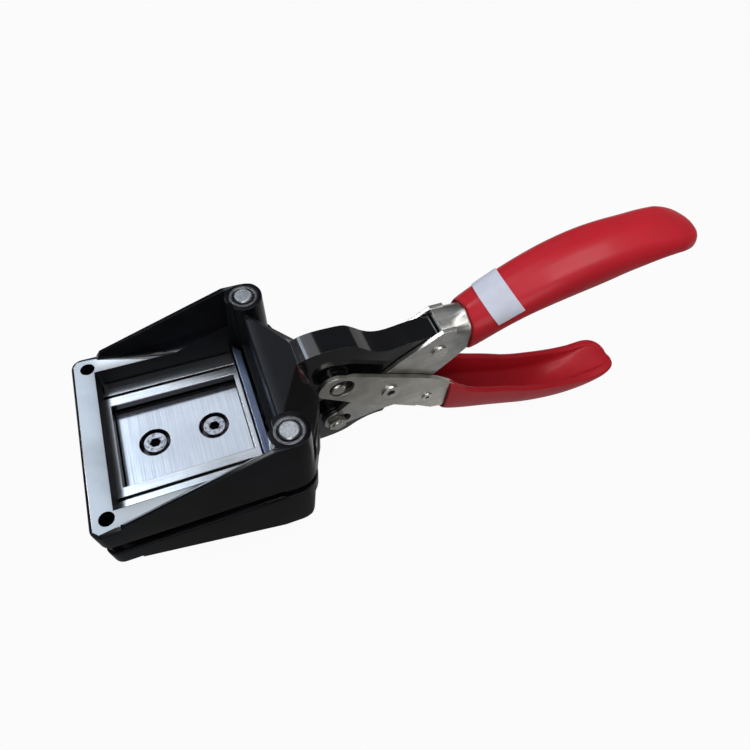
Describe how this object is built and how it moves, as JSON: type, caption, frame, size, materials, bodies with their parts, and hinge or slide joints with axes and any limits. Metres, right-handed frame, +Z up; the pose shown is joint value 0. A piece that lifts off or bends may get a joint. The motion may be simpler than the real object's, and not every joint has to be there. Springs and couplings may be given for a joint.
{
  "type": "photo punch",
  "caption": "Hand-held plier-type punch that cuts an identity photograph with a guided punch and die between two black castings, worked by red dipped handles.",
  "frame": {"origin": "middle of the upper face of the upper casting's front pad", "axes": "+X from the die towards the handles, +Y to the tool's left seen from above with the handles towards the viewer's right, +Z up out of the die window, along the punch's travel"},
  "size_m": [0.2156, 0.063, 0.0929],
  "materials": {
    "black_enamel": "glossy black stove enamel",
    "ground_steel": "surface ground",
    "black_oxide": "black oxide, worn bright on the rims",
    "bright_steel": "turned, bright",
    "nickel_sheet": "satin nickel plate",
    "red_vinyl": "dipped, glossy",
    "white_paper": "matt"
  },
  "bodies": {
    "upper_head": {"upper_casting": "black_enamel", "die_plate": "ground_steel", "stop_bar": "ground_steel", "die_screw_1": "black_oxide", "die_screw_2": "black_oxide", "die_screw_3": "black_oxide", "die_screw_4": "black_oxide", "fulcrum_pin": "bright_steel", "guide_bush_right": "bright_steel", "guide_bush_left": "bright_steel", "return_spring_right": "bright_steel", "return_spring_left": "bright_steel"},
    "lower_head": {"lower_casting": "black_enamel", "punch_block": "ground_steel", "guide_post_right": "bright_steel", "guide_post_left": "bright_steel", "punch_screw_front": "black_oxide", "punch_screw_rear": "black_oxide", "lift_bolt": "bright_steel", "lift_nut": "bright_steel"},
    "upper_lever": {"upper_handle": "nickel_sheet", "upper_grip": "red_vinyl", "size_label": "white_paper", "main_rivet": "bright_steel", "link_rivet": "bright_steel"},
    "lower_lever": {"lower_handle": "nickel_sheet", "lower_grip": "red_vinyl", "spring_pin": "bright_steel"}
  },
  "joints": [
    {"name": "squeeze", "type": "hinge", "parent": "upper_head", "child": "upper_lever", "pos_m": [0.1122, 0, 0.0042], "axis": [0, 1, 0], "range_deg": [0, 6.8]},
    {"name": "punch_travel", "type": "slide", "parent": "upper_head", "child": "lower_head", "axis": [0, 0, 1], "range_m": [0, 0.0043], "stiffness_N_per_m": 2500, "springref_m": -0.002, "deforming": ["return_spring_left", "return_spring_right"]},
    {"name": "lever_link", "type": "hinge", "parent": "upper_lever", "child": "lower_lever", "pos_m": [0.0947, 0, -0.009], "axis": [0, -1, 0], "range_deg": [0, 13.3]}
  ],
  "couplings": [
    {"joint": "squeeze", "follows": "punch_travel", "rad_per_m": 26.667},
    {"joint": "lever_link", "follows": "punch_travel", "rad_per_m": 51.893}
  ]
}
